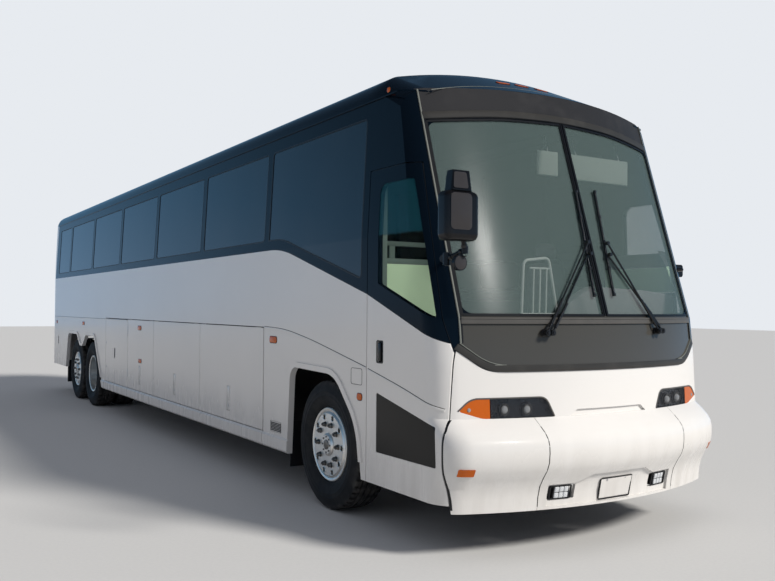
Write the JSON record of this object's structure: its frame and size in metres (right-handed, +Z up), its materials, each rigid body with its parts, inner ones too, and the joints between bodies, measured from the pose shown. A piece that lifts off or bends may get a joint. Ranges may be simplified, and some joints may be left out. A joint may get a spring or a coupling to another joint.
{
  "type": "party bus",
  "caption": "Long motor coach fitted out as a party bus, white below and black round the windows, with doors that open and wheels that turn.",
  "frame": {"origin": "on the ground under the middle of the bus", "axes": "+Z up, -Y the way the bus faces, -X the side with the entrance door"},
  "size_m": [3.018, 13.6458, 3.52],
  "materials": {
    "white_paint": "gloss",
    "black_paint": "gloss",
    "tinted_glass": "polished",
    "clear_glass": "polished",
    "grey_plastic": "matt",
    "dark_panel": "gloss",
    "lamp_glass": "polished",
    "amber_lens": "gloss",
    "tyre": "matt",
    "polished_rim": "polished",
    "frame_paint": "satin",
    "axle_iron": "satin",
    "engine_iron": "satin",
    "floor_cover": "matt",
    "dash_plastic": "matt",
    "seat_leather": "satin",
    "mirror_shell": "gloss",
    "wiper_black": "matt",
    "lining": "satin"
  },
  "bodies": {
    "coach_body": {"underframe": "frame_paint", "rails": "frame_paint", "mudflaps": "wiper_black", "cabin_floor": "floor_cover", "side_walls": "white_paint", "window_bands": "black_paint", "side_glass": "tinted_glass", "roof": "black_paint", "visor": "grey_plastic", "windshield_frame": "black_paint", "windshield": "clear_glass", "cowl": "dark_panel", "nose": "white_paint", "front_bumper": "white_paint", "front_lamps": "lamp_glass", "marker_lamps": "amber_lens", "wheel_skirts": "white_paint", "rockers": "white_paint", "partition": "lining", "rear_cap": "white_paint", "engine": "engine_iron", "dashboard": "dash_plastic", "seats": "seat_leather", "mirrors": "mirror_shell", "wipers": "wiper_black", "axles": "axle_iron"},
    "entrance_door": {"entrance_door": "white_paint", "door_frame": "black_paint", "door_glass": "clear_glass"},
    "engine_door": {"engine_door": "white_paint"},
    "bay_door_right_front": {"bay_door_right_front": "white_paint"},
    "bay_door_right_middle": {"bay_door_right_middle": "white_paint"},
    "bay_door_right_rear": {"bay_door_right_rear": "white_paint"},
    "service_door_right": {"service_door_right": "white_paint"},
    "knuckle_right": {"knuckle_right": "axle_iron"},
    "wheel_front_right": {"rim_front_right": "polished_rim", "tyre_front_right": "tyre"},
    "wheel_drive_right": {"rim_drive_right": "polished_rim", "tyre_drive_right": "tyre"},
    "wheel_tag_right": {"rim_tag_right": "polished_rim", "tyre_tag_right": "tyre"},
    "bay_door_left_front": {"bay_door_left_front": "white_paint"},
    "bay_door_left_middle": {"bay_door_left_middle": "white_paint"},
    "bay_door_left_rear": {"bay_door_left_rear": "white_paint"},
    "service_door_left": {"service_door_left": "white_paint"},
    "knuckle_left": {"knuckle_left": "axle_iron"},
    "wheel_front_left": {"rim_front_left": "polished_rim", "tyre_front_left": "tyre"},
    "wheel_drive_left": {"rim_drive_left": "polished_rim", "tyre_drive_left": "tyre"},
    "wheel_tag_left": {"rim_tag_left": "polished_rim", "tyre_tag_left": "tyre"}
  },
  "joints": [
    {"name": "entrance_door_hinge", "type": "hinge", "parent": "coach_body", "child": "entrance_door", "pos_m": [-1.3, -6.43, 1.3], "axis": [0, 0, 1], "range_deg": [0, 85]},
    {"name": "engine_door_hinge", "type": "hinge", "parent": "coach_body", "child": "engine_door", "pos_m": [0, 6.82, 1.95], "axis": [1, 0, 0], "range_deg": [0, 70]},
    {"name": "bay_door_right_front_hinge", "type": "hinge", "parent": "coach_body", "child": "bay_door_right_front", "pos_m": [-1.295, -2.68, 1.45], "axis": [0, 1, 0], "range_deg": [0, 80]},
    {"name": "bay_door_right_middle_hinge", "type": "hinge", "parent": "coach_body", "child": "bay_door_right_middle", "pos_m": [-1.295, -0.915, 1.45], "axis": [0, 1, 0], "range_deg": [0, 80]},
    {"name": "bay_door_right_rear_hinge", "type": "hinge", "parent": "coach_body", "child": "bay_door_right_rear", "pos_m": [-1.295, 0.6, 1.45], "axis": [0, 1, 0], "range_deg": [0, 80]},
    {"name": "service_door_right_hinge", "type": "hinge", "parent": "coach_body", "child": "service_door_right", "pos_m": [-1.295, 1.235, 0.97], "axis": [0, 0, 1], "range_deg": [0, 90]},
    {"name": "steering_right", "type": "hinge", "parent": "coach_body", "child": "knuckle_right", "pos_m": [-0.905, -4.743, 0.5255], "axis": [0, 0, 1], "range_deg": [-40, 40]},
    {"name": "wheel_front_right_spin", "type": "hinge", "parent": "knuckle_right", "child": "wheel_front_right", "pos_m": [-1.095, -4.743, 0.5255], "axis": [1, 0, 0], "continuous": true},
    {"name": "wheel_drive_right_spin", "type": "hinge", "parent": "coach_body", "child": "wheel_drive_right", "pos_m": [-0.94, 3.579, 0.5255], "axis": [1, 0, 0], "continuous": true},
    {"name": "wheel_tag_right_spin", "type": "hinge", "parent": "coach_body", "child": "wheel_tag_right", "pos_m": [-1.095, 4.819, 0.5255], "axis": [1, 0, 0], "continuous": true},
    {"name": "bay_door_left_front_hinge", "type": "hinge", "parent": "coach_body", "child": "bay_door_left_front", "pos_m": [1.295, -2.68, 1.45], "axis": [0, -1, 0], "range_deg": [0, 80]},
    {"name": "bay_door_left_middle_hinge", "type": "hinge", "parent": "coach_body", "child": "bay_door_left_middle", "pos_m": [1.295, -0.915, 1.45], "axis": [0, -1, 0], "range_deg": [0, 80]},
    {"name": "bay_door_left_rear_hinge", "type": "hinge", "parent": "coach_body", "child": "bay_door_left_rear", "pos_m": [1.295, 0.6, 1.45], "axis": [0, -1, 0], "range_deg": [0, 80]},
    {"name": "service_door_left_hinge", "type": "hinge", "parent": "coach_body", "child": "service_door_left", "pos_m": [1.295, 1.235, 0.97], "axis": [0, 0, -1], "range_deg": [0, 90]},
    {"name": "steering_left", "type": "hinge", "parent": "coach_body", "child": "knuckle_left", "pos_m": [0.905, -4.743, 0.5255], "axis": [0, 0, 1], "range_deg": [-40, 40]},
    {"name": "wheel_front_left_spin", "type": "hinge", "parent": "knuckle_left", "child": "wheel_front_left", "pos_m": [1.095, -4.743, 0.5255], "axis": [1, 0, 0], "continuous": true},
    {"name": "wheel_drive_left_spin", "type": "hinge", "parent": "coach_body", "child": "wheel_drive_left", "pos_m": [0.94, 3.579, 0.5255], "axis": [1, 0, 0], "continuous": true},
    {"name": "wheel_tag_left_spin", "type": "hinge", "parent": "coach_body", "child": "wheel_tag_left", "pos_m": [1.095, 4.819, 0.5255], "axis": [1, 0, 0], "continuous": true}
  ],
  "couplings": [
    {"joint": "steering_right", "follows": "steering_left", "ratio": 1}
  ]
}
